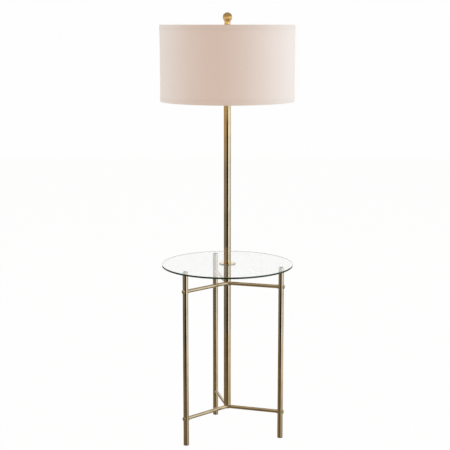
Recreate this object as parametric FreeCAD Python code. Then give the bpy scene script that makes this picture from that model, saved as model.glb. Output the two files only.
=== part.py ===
import FreeCAD, Part
import math
import os
from FreeCAD import Vector

# Floor lamp whose pole rises through a round glass side table.
# Millimetres, +Z up. The origin is on the floor, on the pole's axis; -Y faces the viewer.

# ---------------------------------------------------------------- legs and feet
LEG_RIM_INSET = 34.1             # glass's edge in to the leg's axis
LEG_DIAMETER = 19.05
LEG_WALL = 1.2
REAR_LEG_ANGLE = 103.0           # from +X, anticlockwise seen from above
LEG_NAMES = ("rear", "left", "right")
FOOT_HEIGHT = 2.2
FOOT_EDGE_RADIUS = 0.8
FOOT_SPIGOT_HEIGHT = 14.0
LEG_PLUG_FLANGE = 1.5
LEG_PLUG_DEPTH = 12.0
LEG_PLUG_BORE = 5.0
BUMPER_DIAMETER = 15.0
BUMPER_THICKNESS = 1.2

# ---------------------------------------------------------------- table
GLASS_DIAMETER = 457.2
GLASS_THICKNESS = 6.0
GLASS_TOP_HEIGHT = 615.7
GLASS_EDGE_CHAMFER = 0.8
GLASS_HOLE_CLEARANCE = 0.6
GASKET_DIAMETER = 56.5
GASKET_THICKNESS = 0.8
FLANGE_DIAMETER = 58.5
FLANGE_THICKNESS = 2.2
FLANGE_EDGE_RADIUS = 0.8

# ---------------------------------------------------------------- struts and their fixings
STRUT_DIAMETER = 12.7
STRUT_WALL = 1.0
LOWER_STRUT_HEIGHT = 95.3        # floor to the lower struts' axes
UPPER_STRUT_DROP = 70.0          # glass's upper face down to the upper struts' axes
SADDLE_DIAMETER = 15.0
SADDLE_LENGTH = 2.5              # at its thinnest, on the strut's axis
INSERT_DEPTH = 18.0
SCREW_DIAMETER = 5.0
SCREW_GRIP = 14.0                # thread inside the strut
SCREW_HEAD_DIAMETER = 15.0
SCREW_HEAD_HEIGHT = 4.2
SCREW_HEAD_RIM = 1.0             # straight rim below the dome
SCREW_SOCKET_WIDTH = 4.0         # hexagon across its flats
SCREW_SOCKET_DEPTH = 1.5

# ---------------------------------------------------------------- pole
POLE_DIAMETER = 25.4
POLE_WALL = 1.2
UPPER_POLE_LENGTH = 640.0
POLE_PLUG_HEIGHT = 12.0
POLE_CAP_DIAMETER = 29.0
POLE_CAP_THICKNESS = 3.0
POLE_CAP_EDGE_RADIUS = 1.0
HUB_DIAMETER = 14.4
NIPPLE_DIAMETER = 10.0
NIPPLE_BORE = 7.0
NIPPLE_PROUD = 3.0               # how far a nipple stands out of a plug
NIPPLE_RECESS = 0.5              # how far the lowest nipple stops short of the hub's underside

# ---------------------------------------------------------------- lead inside the pole
GROMMET_ANGLE = 90.0             # the side away from the viewer
GROMMET_RISE = 45.0              # above the lower struts' axis
GROMMET_LIP_DIAMETER = 13.0
GROMMET_LIP = 1.6
GROMMET_NECK_DIAMETER = 9.6
LEAD_DIAMETER = 5.6
LEAD_BEND_RADIUS = 9.0
CONDUCTOR_DIAMETER = 1.8
CONDUCTOR_SPACING = 2.2          # between the two axes where the lead ends
CONDUCTOR_BEND_RADIUS = 3.0

# ---------------------------------------------------------------- harp
SADDLE_STRAP_WIDTH = 12.0
SADDLE_STRAP_THICKNESS = 1.6
SADDLE_STRAP_SPAN = 64.0         # outside to outside
SADDLE_ARM_HEIGHT = 26.0
SADDLE_BEND_RADIUS = 4.0
SADDLE_PIN_HEIGHT = 9.0
SADDLE_NUT_WIDTH = 16.0
SADDLE_NUT_HEIGHT = 3.0
HARP_WIRE_DIAMETER = 4.0
HARP_RISE = 188.0                # from the saddle's pins to the middle of the top wire
HARP_STRAIGHT = 38.0             # straight lead-in above each pin
HARP_WIDTH = 114.0               # across the bow, on the wire's axis
HARP_BULGE_START = 0.44          # where the bow is widest, as shares of its rise
HARP_BULGE_END = 0.72
HARP_TOP_WIDTH = 52.0
HARP_BEND_RADIUS = 24.0
STUD_DIAMETER = 6.35
STUD_LENGTH = 14.0
FERRULE_DIAMETER = 14.0
FERRULE_ABOVE_WIRE = 6.0
FERRULE_BELOW_WIRE = 1.5
SLEEVE_LENGTH = 16.0
SLEEVE_WALL = 1.3
SLIDE_CLEARANCE = 0.08           # radial, sleeve on wire

# ---------------------------------------------------------------- lamp holder
SOCKET_CAP_DIAMETER = 35.0
SOCKET_CAP_HEIGHT = 24.0
SOCKET_CAP_DOME = 13.0
SOCKET_CAP_WALL = 0.8
SOCKET_NECK_DIAMETER = 15.0
SOCKET_NECK_HEIGHT = 5.0
SHELL_HEIGHT = 38.0
SHELL_WALL = 0.6
SHELL_OVERLAP = 5.0              # how far the shell sits in the cap
LINER_WALL = 0.7
HOLDER_DIAMETER = 29.0
HOLDER_HEIGHT = 17.0
SCREW_SHELL_BORE = 26.8
SCREW_SHELL_WALL = 0.5
SCREW_SHELL_HEIGHT = 22.0
CONTACT_DIAMETER = 9.0
CONTACT_HEIGHT = 1.2
TERMINAL_ANGLES = (0.0, 180.0)
TERMINAL_DIAMETER = 6.0
TERMINAL_SHANK_DIAMETER = 3.0
TERMINAL_HEAD = 1.6
TERMINAL_SHANK = 4.0
SWITCH_ANGLE = -90.0             # the side towards the viewer
SWITCH_DROP = 4.2                # holder's top down to the switch's axis
SWITCH_SHAFT_DIAMETER = 3.2
SWITCH_SHAFT_GRIP = 9.0          # how deep the shaft sits in the holder
KNOB_DIAMETER = 11.0
KNOB_LENGTH = 17.0
KNOB_STANDOFF = 2.0              # clear of the shell
KNOB_FLUTES = 10
KNOB_FLUTE_DIAMETER = 1.6
KNOB_EDGE_RADIUS = 1.2

# ---------------------------------------------------------------- bulb
BULB_DIAMETER = 60.0
BULB_LENGTH = 108.0              # contact to crown
BULB_WALL = 0.8
BULB_NECK_ANGLE = 28.0           # where the neck's curve leaves the ball, below its middle
BULB_NECK_DRAW = 0.14            # how far that curve is drawn in, as a share of its width
BASE_DIAMETER = 26.2
BASE_HEIGHT = 24.0
BASE_WALL = 0.4
BASE_RIDGES = 5
BASE_RIDGE_DEPTH = 0.5
BULB_INSULATOR_HEIGHT = 2.5
BULB_TIP_DIAMETER = 8.0
BULB_TIP_FACE_DIAMETER = 4.0
BULB_TIP_HEIGHT = 1.5

# ---------------------------------------------------------------- shade
SHADE_DIAMETER = 460.0           # at its top rim
SHADE_TAPER = 2.0                # how much less its bottom rim's diameter is
SHADE_HEIGHT = 257.0
SHADE_WALL = 1.2
TRIM_THICKNESS = 0.5
TRIM_HEIGHT = 18.0               # band outside the rim
TRIM_RETURN = 9.0                # band inside the rim
RING_WIRE_DIAMETER = 3.0
FITTER_DROP = 12.2               # shade's top rim down to the washer's underside
WASHER_DIAMETER = 32.0
WASHER_THICKNESS = 2.0
ARM_COUNT = 3
FIRST_ARM_ANGLE = 90.0
ARM_WIRE_DIAMETER = 3.4
ARM_INNER_RADIUS = 10.0
ARM_LEVEL_RADIUS = 30.0          # the arm runs level out to here, and then rises
ARM_BEND_RADIUS = 40.0

# ---------------------------------------------------------------- finial
FINIAL_BALL_DIAMETER = 32.4
FINIAL_BALL_RISE = 34.8          # seat to the middle of the ball
FINIAL_BASE_DIAMETER = 25.0
FINIAL_BASE_HEIGHT = 2.5
FINIAL_NECK_DIAMETER = 20.6
FINIAL_NECK_RISE = 18.0          # seat to the narrowest place
FINIAL_NECK_ANGLE = 43.0         # where the neck's curve leaves the ball, below its middle
FINIAL_BORE_SPARE = 2.0          # bore beyond the stud's end

# ---------------------------------------------------------------- clearances
PRESS_CLEARANCE = 0.05           # radial, pieces fixed to each other
SCREW_CLEARANCE = 0.3            # radial, screw through a plain hole
TURN_CLEARANCE = 0.3             # curved faces that turn past each other
THREAD_CLEARANCE = 0.1           # radial, finial on its stud
SEAT_CLEARANCE = 0.2             # flat faces that turn on each other
CUT_OVERSHOOT = 1.0              # how far a cutting shape runs past the face it opens
SAME_PLACE = 1e-6                # two lengths closer than this are the same

# ---------------------------------------------------------------- worked out from the sizes above
UP = Vector(0, 0, 1)
OUT = Vector(1, 0, 0)
LEG_COUNT = len(LEG_NAMES)
LEG_CIRCLE_RADIUS = GLASS_DIAMETER / 2 - LEG_RIM_INSET
LEG_ANGLES = [REAR_LEG_ANGLE + 360.0 / LEG_COUNT * i for i in range(LEG_COUNT)]
UPPER_STRUT_HEIGHT = GLASS_TOP_HEIGHT - UPPER_STRUT_DROP
STRUT_LEVELS = {"lower": LOWER_STRUT_HEIGHT, "upper": UPPER_STRUT_HEIGHT}
LEG_RADIUS = LEG_DIAMETER / 2
LEG_BORE_RADIUS = LEG_RADIUS - LEG_WALL
STRUT_RADIUS = STRUT_DIAMETER / 2
POLE_RADIUS = POLE_DIAMETER / 2
POLE_BORE_RADIUS = POLE_RADIUS - POLE_WALL
NIPPLE_RADIUS = NIPPLE_DIAMETER / 2
NIPPLE_SEAT_RADIUS = NIPPLE_RADIUS + PRESS_CLEARANCE

GLASS_BOTTOM = GLASS_TOP_HEIGHT - GLASS_THICKNESS
LEG_TOP = GLASS_BOTTOM - BUMPER_THICKNESS - LEG_PLUG_FLANGE
LEG_INNER_X = LEG_CIRCLE_RADIUS - LEG_RADIUS
LEG_OUTER_X = LEG_CIRCLE_RADIUS + LEG_RADIUS
STRUT_END = LEG_INNER_X - SADDLE_LENGTH

LOWER_POLE_BOTTOM = LOWER_STRUT_HEIGHT + STRUT_RADIUS
LOWER_POLE_TOP = UPPER_STRUT_HEIGHT - STRUT_RADIUS
UPPER_POLE_BOTTOM = UPPER_STRUT_HEIGHT + STRUT_RADIUS
UPPER_POLE_TOP = UPPER_POLE_BOTTOM + UPPER_POLE_LENGTH
POLE_CAP_TOP = UPPER_POLE_TOP + POLE_CAP_THICKNESS
SADDLE_TOP = POLE_CAP_TOP + SADDLE_STRAP_THICKNESS
SOCKET_BOTTOM = SADDLE_TOP + SADDLE_NUT_HEIGHT

HARP_WIRE_RADIUS = HARP_WIRE_DIAMETER / 2
HARP_LEG_X = (SADDLE_STRAP_SPAN - SADDLE_STRAP_THICKNESS) / 2
HARP_FOOT = POLE_CAP_TOP + SADDLE_ARM_HEIGHT + SADDLE_PIN_HEIGHT
HARP_TOP = HARP_FOOT + HARP_RISE
HARP_SEAT = HARP_TOP + HARP_WIRE_RADIUS + FERRULE_ABOVE_WIRE
STUD_RADIUS = STUD_DIAMETER / 2

SOCKET_CAP_TOP = SOCKET_BOTTOM + SOCKET_CAP_HEIGHT
SHELL_RADIUS = SOCKET_CAP_DIAMETER / 2 - SOCKET_CAP_WALL - PRESS_CLEARANCE
SHELL_BOTTOM = SOCKET_CAP_TOP - SHELL_OVERLAP
SHELL_TOP = SHELL_BOTTOM + SHELL_HEIGHT
LINER_RADIUS = SHELL_RADIUS - SHELL_WALL - PRESS_CLEARANCE
HOLDER_RADIUS = HOLDER_DIAMETER / 2
HOLDER_TOP = SHELL_TOP - SCREW_SHELL_HEIGHT
HOLDER_BOTTOM = HOLDER_TOP - HOLDER_HEIGHT
CONTACT_TOP = HOLDER_TOP + CONTACT_HEIGHT
SWITCH_HEIGHT = HOLDER_TOP - SWITCH_DROP
KNOB_START = SHELL_RADIUS + KNOB_STANDOFF
BULB_BOTTOM = CONTACT_TOP + TURN_CLEARANCE
BASE_BOTTOM = BULB_BOTTOM + BULB_TIP_HEIGHT + BULB_INSULATOR_HEIGHT
BASE_BORE_RADIUS = BASE_DIAMETER / 2 - BASE_RIDGE_DEPTH - BASE_WALL

WASHER_BOTTOM = HARP_SEAT + SEAT_CLEARANCE
WASHER_TOP = WASHER_BOTTOM + WASHER_THICKNESS
SHADE_TOP = WASHER_BOTTOM + FITTER_DROP
SHADE_BOTTOM = SHADE_TOP - SHADE_HEIGHT
RING_WIRE_RADIUS = RING_WIRE_DIAMETER / 2
DRUM_INSET = TRIM_THICKNESS + PRESS_CLEARANCE
RING_INSET = DRUM_INSET + SHADE_WALL + PRESS_CLEARANCE + RING_WIRE_RADIUS
RETURN_INSET = RING_INSET + RING_WIRE_RADIUS + PRESS_CLEARANCE
RING_DROP = TRIM_THICKNESS + PRESS_CLEARANCE + RING_WIRE_RADIUS
FINIAL_SEAT = WASHER_TOP + SEAT_CLEARANCE


# ---------------------------------------------------------------- small helpers
def tube(outer_radius, inner_radius, bottom, top):
    """Upright tube on the pole's axis."""
    outside = Part.makeCylinder(outer_radius, top - bottom, Vector(0, 0, bottom))
    return outside.cut(Part.makeCylinder(inner_radius, top - bottom, Vector(0, 0, bottom)))


def radial_cylinder(radius, start, end, height):
    """Level cylinder along +X, from one distance off the pole's axis to another."""
    return Part.makeCylinder(radius, end - start, Vector(start, 0, height), OUT)


def at_leg(shape):
    """Moves a shape from the pole's axis to the leg's axis on +X."""
    return shape.translated(Vector(LEG_CIRCLE_RADIUS, 0, 0))


def swung(shape, angle):
    """Turns a shape about the pole's axis."""
    return shape.rotated(Vector(0, 0, 0), UP, angle)


def at_each_leg(shape):
    """The same shape at every leg, as one group of separate solids."""
    return Part.makeCompound([swung(shape, angle) for angle in LEG_ANGLES])


def turned(outline):
    """Solid turned about the Z axis from a closed outline.

    Each point of the outline is (radius, height). A point with a third entry is the
    middle of an arc from the point before it to the point after it.
    """
    points = [Vector(entry[0], 0, entry[1]) for entry in outline]
    is_arc_middle = [len(entry) == 3 for entry in outline]
    edges = []
    for i, point in enumerate(points):
        following = (i + 1) % len(points)
        if is_arc_middle[i]:
            edges.append(Part.Arc(points[i - 1], point, points[following]).toShape())
        elif not is_arc_middle[following]:
            edges.append(Part.makeLine(point, points[following]))
    return Part.Face(Part.Wire(edges)).revolve(Vector(0, 0, 0), UP, 360)


def bent_path(points, bend_radius):
    """Path through the points whose inner corners are tangent arcs of one radius."""
    edges = []
    start = points[0]
    for before, corner, after in zip(points, points[1:], points[2:]):
        incoming = (corner - before).normalize()
        outgoing = (after - corner).normalize()
        turn = incoming.getAngle(outgoing)
        setback = bend_radius * math.tan(turn / 2)
        arc_start = corner - incoming * setback
        arc_end = corner + outgoing * setback
        towards_centre = (outgoing - incoming).normalize()
        arc_middle = corner + towards_centre * (bend_radius / math.cos(turn / 2) - bend_radius)
        edges.append(Part.makeLine(start, arc_start))
        edges.append(Part.Arc(arc_start, arc_middle, arc_end).toShape())
        start = arc_end
    edges.append(Part.makeLine(start, points[-1]))
    return Part.Wire(edges)


def bent_rod(points, bend_radius, radius):
    """Round rod along a bent path."""
    path = bent_path(points, bend_radius)
    section = Part.Wire([Part.makeCircle(radius, points[0], points[1] - points[0])])
    return path.makePipeShell([section], True, True)


def hexagon_prism(width, bottom, top):
    """Upright hexagonal prism on the Z axis, given across its flats."""
    corner = width / math.sqrt(3)
    corners = [Vector(corner * math.cos(math.radians(60 * i)), corner * math.sin(math.radians(60 * i)),
                      bottom) for i in range(7)]
    return Part.Face(Part.makePolygon(corners)).extrude(UP * (top - bottom))


# ---------------------------------------------------------------- legs
def leg_tube():
    """Leg tube on +X, drilled right through for the screw at each level of struts."""
    leg = at_leg(tube(LEG_RADIUS, LEG_BORE_RADIUS, FOOT_HEIGHT, LEG_TOP))
    for height in STRUT_LEVELS.values():
        hole_radius = SCREW_DIAMETER / 2 + SCREW_CLEARANCE
        leg = leg.cut(radial_cylinder(hole_radius, STRUT_END, LEG_OUTER_X + LEG_WALL, height))
    return leg


def foot():
    """Moulded glide: a rounded pad below the tube and a spigot inside it."""
    spigot_radius = LEG_BORE_RADIUS - PRESS_CLEARANCE
    rounding = FOOT_EDGE_RADIUS * (1 - math.sqrt(0.5))
    return at_leg(turned([
        (0, 0),
        (LEG_RADIUS - FOOT_EDGE_RADIUS, 0),
        (LEG_RADIUS - rounding, rounding, "arc"),
        (LEG_RADIUS, FOOT_EDGE_RADIUS),
        (LEG_RADIUS, FOOT_HEIGHT),
        (spigot_radius, FOOT_HEIGHT),
        (spigot_radius, FOOT_HEIGHT + FOOT_SPIGOT_HEIGHT),
        (0, FOOT_HEIGHT + FOOT_SPIGOT_HEIGHT),
    ]))


def leg_top_plug():
    """Plug with a thin flange that closes the top of a leg."""
    plug = tube(LEG_BORE_RADIUS - PRESS_CLEARANCE, LEG_PLUG_BORE / 2, LEG_TOP - LEG_PLUG_DEPTH, LEG_TOP)
    flange = tube(LEG_RADIUS, LEG_PLUG_BORE / 2, LEG_TOP, LEG_TOP + LEG_PLUG_FLANGE)
    return at_leg(plug.fuse(flange).removeSplitter())


def glass_bumper():
    """Soft pad between a leg and the glass."""
    return at_leg(Part.makeCylinder(BUMPER_DIAMETER / 2, BUMPER_THICKNESS,
                                    Vector(0, 0, LEG_TOP + LEG_PLUG_FLANGE)))


# ---------------------------------------------------------------- struts
def mitre_wedge(height):
    """The space that one strut may fill, between its neighbours' mitres."""
    half_angle = math.pi / LEG_COUNT
    side = STRUT_END * math.tan(half_angle)
    corners = [Vector(0, 0, 0), Vector(STRUT_END, -side, 0), Vector(STRUT_END, side, 0), Vector(0, 0, 0)]
    wedge = Part.Face(Part.makePolygon(corners)).extrude(UP * STRUT_DIAMETER)
    return wedge.translated(UP * (height - STRUT_RADIUS))


def strut(height):
    """Strut tube on +X, mitred to its neighbours and fitted round the hub."""
    outside = radial_cylinder(STRUT_RADIUS, 0, STRUT_END, height)
    bore = radial_cylinder(STRUT_RADIUS - STRUT_WALL, 0, STRUT_END, height)
    hub_space = Part.makeCylinder(HUB_DIAMETER / 2 + PRESS_CLEARANCE, STRUT_DIAMETER,
                                  Vector(0, 0, height - STRUT_RADIUS))
    return outside.cut(bore).common(mitre_wedge(height)).cut(hub_space)


def strut_insert(height):
    """Threaded insert in the strut's outer end."""
    start = STRUT_END - INSERT_DEPTH
    body = radial_cylinder(STRUT_RADIUS - STRUT_WALL - PRESS_CLEARANCE, start, STRUT_END, height)
    return body.cut(radial_cylinder(SCREW_DIAMETER / 2 + PRESS_CLEARANCE, start, STRUT_END, height))


def strut_saddle(height):
    """Short collar between strut and leg, hollowed to the leg."""
    body = radial_cylinder(SADDLE_DIAMETER / 2, STRUT_END, LEG_CIRCLE_RADIUS, height)
    leg = at_leg(Part.makeCylinder(LEG_RADIUS + PRESS_CLEARANCE, 2 * SADDLE_DIAMETER,
                                   Vector(0, 0, height - SADDLE_DIAMETER)))
    hole = radial_cylinder(SCREW_DIAMETER / 2 + SCREW_CLEARANCE, STRUT_END, LEG_CIRCLE_RADIUS, height)
    return body.cut(leg).cut(hole)


def leg_screw(height):
    """Screw with a low domed head and a hexagon socket, driven in from outside the leg."""
    length = LEG_OUTER_X - STRUT_END + SCREW_GRIP
    head_radius = SCREW_HEAD_DIAMETER / 2
    dome_rise = SCREW_HEAD_HEIGHT - SCREW_HEAD_RIM
    dome_radius = (head_radius ** 2 + dome_rise ** 2) / (2 * dome_rise)
    quarter_way = head_radius / 2
    quarter_height = SCREW_HEAD_HEIGHT - dome_radius + math.sqrt(dome_radius ** 2 - quarter_way ** 2)
    screw = turned([
        (0, -length),
        (SCREW_DIAMETER / 2, -length),
        (SCREW_DIAMETER / 2, 0),
        (head_radius, 0),
        (head_radius, SCREW_HEAD_RIM),
        (quarter_way, quarter_height, "arc"),
        (0, SCREW_HEAD_HEIGHT),
    ])
    screw = screw.cut(hexagon_prism(SCREW_SOCKET_WIDTH, SCREW_HEAD_HEIGHT - SCREW_SOCKET_DEPTH,
                                    SCREW_HEAD_HEIGHT + CUT_OVERSHOOT))
    return screw.rotated(Vector(0, 0, 0), Vector(0, 1, 0), 90).translated(Vector(LEG_OUTER_X, 0, height))


def at_both_levels(make):
    """One piece at every leg on both levels of struts, as one group."""
    solids = []
    for height in STRUT_LEVELS.values():
        solids += at_each_leg(make(height)).Solids
    return Part.makeCompound(solids)


def hub(height):
    """Threaded boss where three struts cross."""
    return tube(HUB_DIAMETER / 2, NIPPLE_SEAT_RADIUS, height - STRUT_RADIUS, height + STRUT_RADIUS)


# ---------------------------------------------------------------- pole
def grommet_hole(radius):
    """Cylinder through the back wall of the lower pole at the grommet."""
    height = LOWER_STRUT_HEIGHT + GROMMET_RISE
    return swung(radial_cylinder(radius, 0, POLE_RADIUS + GROMMET_LIP, height), GROMMET_ANGLE)


def lower_pole():
    """Lower length of the pole, with the hole for the grommet."""
    pole = tube(POLE_RADIUS, POLE_BORE_RADIUS, LOWER_POLE_BOTTOM, LOWER_POLE_TOP)
    return pole.cut(grommet_hole(GROMMET_NECK_DIAMETER / 2 + PRESS_CLEARANCE))


def pole_plugs():
    """Threaded plugs in the four ends of the two lengths of pole."""
    starts = (LOWER_POLE_BOTTOM, LOWER_POLE_TOP - POLE_PLUG_HEIGHT,
              UPPER_POLE_BOTTOM, UPPER_POLE_TOP - POLE_PLUG_HEIGHT)
    plug_radius = POLE_BORE_RADIUS - PRESS_CLEARANCE
    return Part.makeCompound([tube(plug_radius, NIPPLE_SEAT_RADIUS, start, start + POLE_PLUG_HEIGHT)
                              for start in starts])


def nipple(bottom, top):
    """Hollow threaded nipple."""
    return tube(NIPPLE_RADIUS, NIPPLE_BORE / 2, bottom, top)


def pole_cap():
    """Check ring on the pole's top end."""
    cap = tube(POLE_CAP_DIAMETER / 2, NIPPLE_SEAT_RADIUS, UPPER_POLE_TOP, POLE_CAP_TOP)
    return cap.makeFillet(POLE_CAP_EDGE_RADIUS, outer_rims(cap, POLE_CAP_DIAMETER / 2, POLE_CAP_TOP))


def outer_rims(shape, radius, height):
    """The round edges of one radius at one height."""
    return [edge for edge in shape.Edges
            if isinstance(edge.Curve, Part.Circle)
            and abs(edge.Curve.Radius - radius) < SAME_PLACE
            and abs(edge.Curve.Center.z - height) < SAME_PLACE]


def cord_grommet():
    """Rubber bush with a lip inside and outside the pole's wall."""
    lip = grommet_hole(GROMMET_LIP_DIAMETER / 2)
    wall = tube(POLE_RADIUS + PRESS_CLEARANCE, POLE_BORE_RADIUS - PRESS_CLEARANCE,
                LOWER_POLE_BOTTOM, LOWER_POLE_TOP)
    core = Part.makeCylinder(POLE_BORE_RADIUS - GROMMET_LIP, LOWER_POLE_TOP - LOWER_POLE_BOTTOM,
                             Vector(0, 0, LOWER_POLE_BOTTOM))
    neck = grommet_hole(GROMMET_NECK_DIAMETER / 2)
    bush = lip.cut(wall).fuse(neck).cut(core).removeSplitter()
    return bush.cut(grommet_hole(LEAD_DIAMETER / 2 + PRESS_CLEARANCE))


def pole_wiring():
    """Lead from the grommet, round one bend, and up the pole into the socket's cap."""
    height = LOWER_STRUT_HEIGHT + GROMMET_RISE
    back = Vector(math.cos(math.radians(GROMMET_ANGLE)), math.sin(math.radians(GROMMET_ANGLE)), 0)
    entry = back * POLE_RADIUS + UP * height
    corner = UP * height
    end = UP * (SOCKET_BOTTOM + SOCKET_NECK_HEIGHT)
    return bent_rod([entry, corner, end], LEAD_BEND_RADIUS, LEAD_DIAMETER / 2)


# ---------------------------------------------------------------- table
def glass_top():
    """Round glass with a hole for the pole and ground edges."""
    hole_radius = POLE_RADIUS + GLASS_HOLE_CLEARANCE
    glass = tube(GLASS_DIAMETER / 2, hole_radius, GLASS_BOTTOM, GLASS_TOP_HEIGHT)
    rims = (outer_rims(glass, GLASS_DIAMETER / 2, GLASS_BOTTOM)
            + outer_rims(glass, GLASS_DIAMETER / 2, GLASS_TOP_HEIGHT))
    return glass.makeChamfer(GLASS_EDGE_CHAMFER, rims)


def flange_gasket():
    """Thin gasket between the glass and the flange."""
    return tube(GASKET_DIAMETER / 2, POLE_RADIUS + GLASS_HOLE_CLEARANCE,
                GLASS_TOP_HEIGHT, GLASS_TOP_HEIGHT + GASKET_THICKNESS)


def glass_flange():
    """Brass disc round the pole that hides the hole in the glass."""
    bottom = GLASS_TOP_HEIGHT + GASKET_THICKNESS
    top = bottom + FLANGE_THICKNESS
    disc = tube(FLANGE_DIAMETER / 2, POLE_RADIUS + PRESS_CLEARANCE, bottom, top)
    return disc.makeFillet(FLANGE_EDGE_RADIUS, outer_rims(disc, FLANGE_DIAMETER / 2, top))


# ---------------------------------------------------------------- harp
def strap_outline(inset, bottom):
    """Filleted U-shaped outline of the saddle's strap, as a solid across the strap's width."""
    half_span = SADDLE_STRAP_SPAN / 2 - inset
    top = POLE_CAP_TOP + SADDLE_ARM_HEIGHT
    block = Part.makeBox(2 * half_span, SADDLE_STRAP_WIDTH, top - bottom,
                         Vector(-half_span, -SADDLE_STRAP_WIDTH / 2, bottom))
    corners = [edge for edge in block.Edges
               if abs(edge.CenterOfMass.z - bottom) < SAME_PLACE
               and abs(edge.CenterOfMass.y) < SAME_PLACE]
    return block.makeFillet(SADDLE_BEND_RADIUS - inset, corners)


def harp_saddle():
    """Strap bent up at both ends, with a round pin on top of each arm."""
    strap = strap_outline(0, POLE_CAP_TOP).cut(strap_outline(SADDLE_STRAP_THICKNESS, SADDLE_TOP))
    arm_top = POLE_CAP_TOP + SADDLE_ARM_HEIGHT
    for side in (-1, 1):
        root = Vector(side * HARP_LEG_X, 0, arm_top - SADDLE_PIN_HEIGHT)
        strap = strap.fuse(Part.makeCylinder(HARP_WIRE_RADIUS, 2 * SADDLE_PIN_HEIGHT, root))
    hole = Part.makeCylinder(NIPPLE_SEAT_RADIUS, SADDLE_STRAP_THICKNESS, Vector(0, 0, POLE_CAP_TOP))
    return strap.cut(hole).removeSplitter()


def saddle_nut():
    """Hexagonal nut that holds the saddle down."""
    nut = hexagon_prism(SADDLE_NUT_WIDTH, SADDLE_TOP, SOCKET_BOTTOM)
    return nut.cut(Part.makeCylinder(NIPPLE_SEAT_RADIUS, SADDLE_NUT_HEIGHT, Vector(0, 0, SADDLE_TOP)))


def harp_path():
    """Points of the harp's wire from its left foot over the top to its right foot."""
    half_width = HARP_WIDTH / 2
    right = [
        Vector(HARP_TOP_WIDTH / 2, 0, HARP_TOP),
        Vector(half_width, 0, HARP_FOOT + HARP_RISE * HARP_BULGE_END),
        Vector(half_width, 0, HARP_FOOT + HARP_RISE * HARP_BULGE_START),
        Vector(HARP_LEG_X, 0, HARP_FOOT + HARP_STRAIGHT),
        Vector(HARP_LEG_X, 0, HARP_FOOT),
    ]
    left = [Vector(-point.x, 0, point.z) for point in reversed(right)]
    return left + right


def harp():
    """Wire bow that carries the shade over the bulb."""
    return bent_rod(harp_path(), HARP_BEND_RADIUS, HARP_WIRE_RADIUS)


def harp_stud():
    """Ferrule crimped on the top of the bow, with the threaded stud on it."""
    ferrule = Part.makeCylinder(FERRULE_DIAMETER / 2, HARP_SEAT - HARP_TOP + HARP_WIRE_RADIUS
                                + FERRULE_BELOW_WIRE,
                                Vector(0, 0, HARP_TOP - HARP_WIRE_RADIUS - FERRULE_BELOW_WIRE))
    wire = Part.makeCylinder(HARP_WIRE_RADIUS + PRESS_CLEARANCE, 2 * FERRULE_DIAMETER,
                             Vector(-FERRULE_DIAMETER, 0, HARP_TOP), OUT)
    stud = Part.makeCylinder(STUD_RADIUS, STUD_LENGTH, Vector(0, 0, HARP_SEAT))
    return ferrule.cut(wire).fuse(stud)


def harp_sleeve(side):
    """Sleeve over the joint between a pin of the saddle and a foot of the harp."""
    inner = HARP_WIRE_RADIUS + SLIDE_CLEARANCE
    sleeve = tube(inner + SLEEVE_WALL, inner, HARP_FOOT - SLEEVE_LENGTH / 2, HARP_FOOT + SLEEVE_LENGTH / 2)
    return sleeve.translated(Vector(side * HARP_LEG_X, 0, 0))


# ---------------------------------------------------------------- lamp holder
def socket_cap():
    """Domed cup with a neck, open at the top."""
    radius = SOCKET_CAP_DIAMETER / 2
    neck_radius = SOCKET_NECK_DIAMETER / 2
    neck_top = SOCKET_BOTTOM + SOCKET_NECK_HEIGHT
    dome_top = SOCKET_BOTTOM + SOCKET_CAP_DOME
    bulge = math.sqrt(0.5)
    outer_middle = (neck_radius + (radius - neck_radius) * bulge, dome_top - (dome_top - neck_top) * bulge)
    inner_radius = radius - SOCKET_CAP_WALL
    inner_floor = neck_top + SOCKET_CAP_WALL
    inner_middle = (neck_radius + (inner_radius - neck_radius) * bulge,
                    dome_top - (dome_top - inner_floor) * bulge)
    return turned([
        (NIPPLE_SEAT_RADIUS, SOCKET_BOTTOM),
        (neck_radius, SOCKET_BOTTOM),
        (neck_radius, neck_top),
        (*outer_middle, "arc"),
        (radius, dome_top),
        (radius, SOCKET_CAP_TOP),
        (inner_radius, SOCKET_CAP_TOP),
        (inner_radius, dome_top),
        (*inner_middle, "arc"),
        (neck_radius, inner_floor),
        (NIPPLE_SEAT_RADIUS, inner_floor),
    ])


def towards_switch(shape):
    """Turns a shape from +X to the side that the switch is on."""
    return swung(shape, SWITCH_ANGLE)


def switch_opening(radius):
    """Cylinder through the wall of the lamp holder at the switch's shaft."""
    return towards_switch(radial_cylinder(radius, 0, SOCKET_CAP_DIAMETER, SWITCH_HEIGHT))


def socket_shell():
    """Outer brass shell, with the hole for the switch's shaft."""
    shell = tube(SHELL_RADIUS, SHELL_RADIUS - SHELL_WALL, SHELL_BOTTOM, SHELL_TOP)
    return shell.cut(switch_opening(SWITCH_SHAFT_DIAMETER / 2 + 2 * TURN_CLEARANCE))


def socket_liner():
    """Insulating sleeve inside the shell."""
    liner = tube(LINER_RADIUS, LINER_RADIUS - LINER_WALL, SHELL_BOTTOM, SHELL_TOP)
    return liner.cut(switch_opening(SWITCH_SHAFT_DIAMETER / 2 + 2 * TURN_CLEARANCE))


def terminal_shape(clearance, outer_end):
    """Terminal screw on +X, or the space for it in the holder."""
    head_face = HOLDER_RADIUS - TERMINAL_HEAD
    height = HOLDER_BOTTOM + TERMINAL_DIAMETER / 2 + TERMINAL_HEAD
    head = radial_cylinder(TERMINAL_DIAMETER / 2 + clearance, head_face, outer_end, height)
    shank = radial_cylinder(TERMINAL_SHANK_DIAMETER / 2 + clearance, head_face - TERMINAL_SHANK,
                            head_face, height)
    return head.fuse(shank)


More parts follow.
